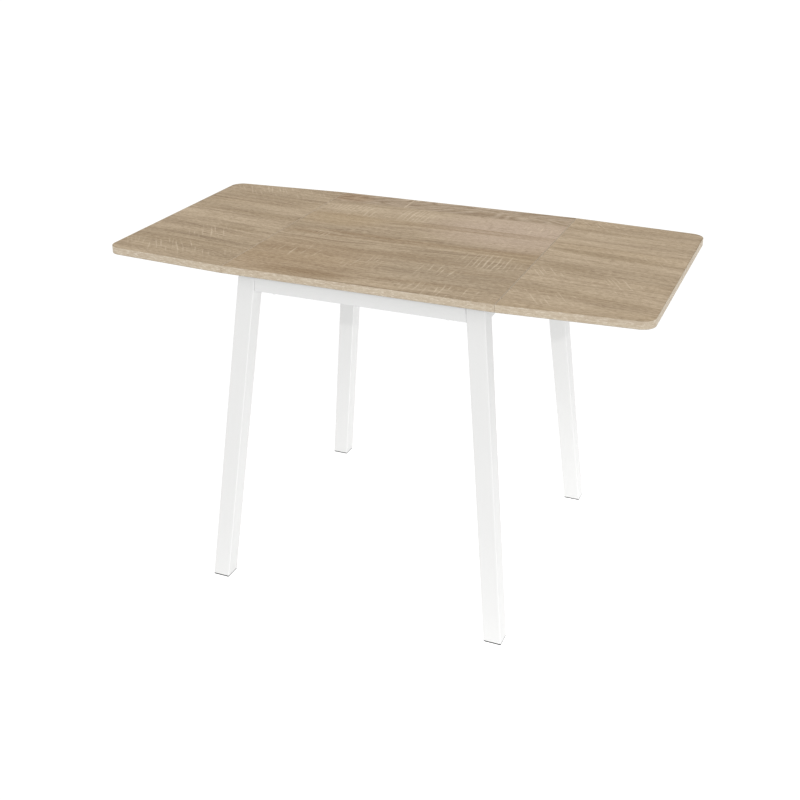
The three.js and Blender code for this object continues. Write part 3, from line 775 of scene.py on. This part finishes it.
def leg_bolts(zinc):
    """The bolts through each brace's diagonal, whose middle lies half a flange out from the box's."""
    flange = 26 * MM
    bolt = hex_bolt()
    for corner, toward_x, toward_y in CORNERS:
        out = Vector((toward_x, toward_y, 0))
        mesh = bolt.copy()
        centre = middle(corner + "corner_brace") + out * flange / 2
        mesh.transform(Matrix.Translation(centre) @ turn_to(out.normalized()))
        node = corner + "leg_bolt"
        add_piece(corner + "hex_bolt", mesh, zinc, "zinc_steel", body_of(node), node)


def rivets(zinc):
    """The hinge pins and lever pins, each a turned bar along Y with two domed heads."""
    for corner, _, _ in CORNERS:
        for pin, radius, head, dome in (("hinge_pin", 4.0 * MM, 6.2 * MM, 2.0 * MM),
                                        ("lever_pin", 2.5 * MM, 4.2 * MM, 1.5 * MM)):
            node = corner + pin
            low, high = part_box(node)
            reach = (high.y - low.y) / 2
            seat, rim = reach - dome, 0.35 * dome
            upper = [(radius, seat), (head, seat), (head, seat + rim)]
            upper += [(head * math.cos(a), seat + rim + (dome - rim) * math.sin(a))
                      for a in (math.radians(15 * k) for k in range(1, 6))]
            upper += [(0, reach)]
            profile = [(r, -z) for r, z in reversed(upper)] + upper
            mesh = as_mesh(turned(profile, 40), node)
            mesh.transform(Matrix.Translation(middle(node)) @ Matrix.Rotation(math.pi / 2, 4, "X"))
            add_piece(f"{node}_rivet", mesh, zinc, "zinc_steel", body_of(node), node)


def wire(points, radius):
    """A closed round tube along points."""
    sides = 10
    shape = bmesh.new()
    rings = []
    normal = (points[1] - points[0]).orthogonal().normalized()
    for i, point in enumerate(points):
        ahead = (points[min(i + 1, len(points) - 1)] - points[max(i - 1, 0)]).normalized()
        normal = (normal - ahead * normal.dot(ahead)).normalized()
        other = ahead.cross(normal)
        rings.append([shape.verts.new(point + radius * (normal * math.cos(a) + other * math.sin(a)))
                      for a in (math.tau * k / sides for k in range(sides))])
    for lower, upper in zip(rings, rings[1:]):
        for i in range(sides):
            j = (i + 1) % sides
            shape.faces.new((lower[i], lower[j], upper[j], upper[i]))
    shape.faces.new(rings[0][::-1])
    shape.faces.new(rings[-1])
    bmesh.ops.recalc_face_normals(shape, faces=shape.faces)
    return shape


def lever_springs(spring):
    """Torsion springs around the lever pins: a close coil with two straight tails."""
    radius, turns, tail, thick, steps = 3.6 * MM, 2.5, 6.6 * MM, 0.5 * MM, 90
    for corner, toward_x, toward_y in CORNERS:
        node = corner + "lever_spring"
        low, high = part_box(node)
        axle = middle(corner + "lever_pin")
        width = high.y - low.y - 2 * thick
        start = middle(node).y - toward_y * width / 2
        points = []
        for step in range(-1, steps + 2):
            share = min(max(step, 0), steps) / steps
            angle = math.tau * turns * share
            run = tail * ((step < 0) - (step > steps))
            across = -radius * math.cos(angle) - run * math.sin(angle)
            up = radius * math.sin(angle) - run * math.cos(angle)
            points.append(Vector((axle.x + toward_x * across, start + toward_y * width * share,
                                  axle.z + up)))
        mesh = as_mesh(wire(points, thick), node)
        add_piece(corner + "spring_coil", mesh, spring, "spring_steel", body_of(node), node)


def base_screws(corner, toward_x, head):
    """Four screws that face out from the hinge base's plate."""
    node = corner + "hinge_base"
    low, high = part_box(node)
    plate = (low.x if toward_x > 0 else high.x) + toward_x * BRACKET_PLATE
    return gathered(head, [((plate, middle(node).y + dy * MM, low.z + dz * MM), (toward_x, 0, 0))
                           for dy in (-25, 25) for dz in (9, 29)])


def arm_screws(corner, toward_x, head):
    """Six screws up through the hinge arm's plate, measured from its tip."""
    node = corner + "hinge_arm"
    low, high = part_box(node)
    tip = high.x if toward_x > 0 else low.x
    return gathered(head, [((tip - toward_x * dx * MM, middle(node).y + dy * MM, high.z - BRACKET_PLATE),
                            (0, 0, -1)) for dx in (12, 48, 84) for dy in (-17.5, 17.5)])


def brace_screws(corner, toward_x, toward_y, head):
    """Two screws through each of the brace's flanges, into the front or rear rail and the side rail."""
    low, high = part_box(corner + "corner_brace")
    height = (low.z + high.z) / 2
    inner_x, far_x = (high.x, low.x) if toward_x > 0 else (low.x, high.x)
    inner_y, far_y = (high.y, low.y) if toward_y > 0 else (low.y, high.y)
    from_end, apart = 10 * MM, 16 * MM
    end_x, end_y = far_x + toward_x * from_end, far_y + toward_y * from_end
    face_x, face_y = inner_x - toward_x * BRACKET_PLATE, inner_y - toward_y * BRACKET_PLATE
    places = []
    for z in (height - apart / 2, height + apart / 2):
        places += [((end_x, face_y, z), (0, -toward_y, 0)), ((face_x, end_y, z), (-toward_x, 0, 0))]
    return gathered(head, places)


def bracket_screws(zinc):
    """Pan-head screws that hold the hinge bases, the hinge arms and the corner braces."""
    big = pan_head(3.6 * MM, 2.1 * MM)
    small = pan_head(2.9 * MM, 1.8 * MM)
    for corner, toward_x, toward_y in CORNERS:
        for name, mesh, held in (
                ("base_screws", base_screws(corner, toward_x, big), "hinge_base"),
                ("arm_screws", arm_screws(corner, toward_x, small), "hinge_arm"),
                ("brace_screws", brace_screws(corner, toward_x, toward_y, small), "corner_brace")):
            add_piece(corner + name, mesh, zinc, "zinc_steel", body_of(corner + held))


# ---------------------------------------------------------------- floor, light and camera


def floor():
    """A pale floor that glows, and most in a pool under the table's right half, so that the legs on
    the right are the brighter ones."""
    size, below = 20.0, 0.2 * MM
    glow, pool_glow, pool_x, pool_edge, pool_heart = 0.80, 0.44, 0.45, 1.5, 0.2
    shape = bmesh.new()
    bmesh.ops.create_grid(shape, x_segments=1, y_segments=1, size=size)
    ground = bpy.data.objects.new("floor", as_mesh(shape, "floor"))
    bpy.context.scene.collection.objects.link(ground)
    ground.location.z = -below
    g = Graph("floor_paint")
    color = g.mix(g.noise(g.place(), 1.5, 2.0), linear(130, 130, 130), linear(126, 126, 126))
    x, y, _ = g.split(g.place())
    dx = g.minus(x, pool_x)
    away = g.math("SQRT", g.plus(g.times(dx, dx), g.times(y, y)))
    pool = g.ramp(away, pool_edge, pool_heart)
    g.feed(g.shader.inputs["Emission Strength"], g.plus(glow, g.times(pool, pool_glow)))
    ground.data.materials.append(g.surface(color, 0.9, Emission_Color=(1.0, 1.0, 1.0, 1.0)))


def sky():
    """White light from all round, brighter above and a little brighter from the front right."""
    level, rise = 0.42, (0.06, -0.10, 0.90)
    world = bpy.data.worlds.new("studio")
    world.use_nodes = True
    tree = world.node_tree
    background = tree.nodes["Background"]
    background.inputs["Color"].default_value = (1.0, 1.0, 1.0, 1.0)
    direction = tree.nodes.new("ShaderNodeTexCoord").outputs["Generated"]
    slope = tree.nodes.new("ShaderNodeVectorMath")
    slope.operation = "DOT_PRODUCT"
    slope.inputs[1].default_value = rise
    total = tree.nodes.new("ShaderNodeMath")
    total.operation = "ADD"
    total.inputs[1].default_value = level
    tree.links.new(direction, slope.inputs[0])
    tree.links.new(slope.outputs["Value"], total.inputs[0])
    tree.links.new(total.outputs[0], background.inputs["Strength"])
    bpy.context.scene.world = world


def key_light():
    """A weak, sharp sun from the front right, which draws the top's shadow on the rear legs."""
    azimuth, height, distance = math.radians(30.4), math.radians(24.5), 3.0
    key = bpy.data.lights.new("key", "SUN")
    key.energy = 0.36
    key.angle = math.radians(1.0)
    lamp = bpy.data.objects.new("key", key)
    bpy.context.scene.collection.objects.link(lamp)
    towards = Vector((math.sin(azimuth) * math.cos(height), -math.cos(azimuth) * math.cos(height),
                      math.sin(height)))
    lamp.matrix_world = Matrix.Translation(distance * towards) @ turn_to(towards)


def camera():
    """In front of the table and to its right, looking down at it."""
    place = (0.93572, -2.29904, 1.5526)
    yaw, pitch, roll = (math.radians(a) for a in (-23.14, -23.05, -0.34))
    data = bpy.data.cameras.new("camera")
    data.sensor_width = 36.0
    data.lens = 52.71
    data.shift_x = 0.0122
    data.shift_y = -0.0677
    eye = bpy.data.objects.new("camera", data)
    bpy.context.scene.collection.objects.link(eye)
    turn = Matrix.Rotation(-yaw, 4, "Z") @ Matrix.Rotation(math.pi / 2 + pitch, 4, "X")
    eye.matrix_world = Matrix.Translation(place) @ turn @ Matrix.Rotation(roll, 4, "Z")
    bpy.context.scene.camera = eye


def plain_view():
    """Colours go out as they are lit, with no film curve."""
    view = bpy.context.scene.view_settings
    view.view_transform = "Standard"
    view.look = "None"


# ---------------------------------------------------------------- the whole scene

dress_everything()
floor()
sky()
key_light()
camera()
plain_view()
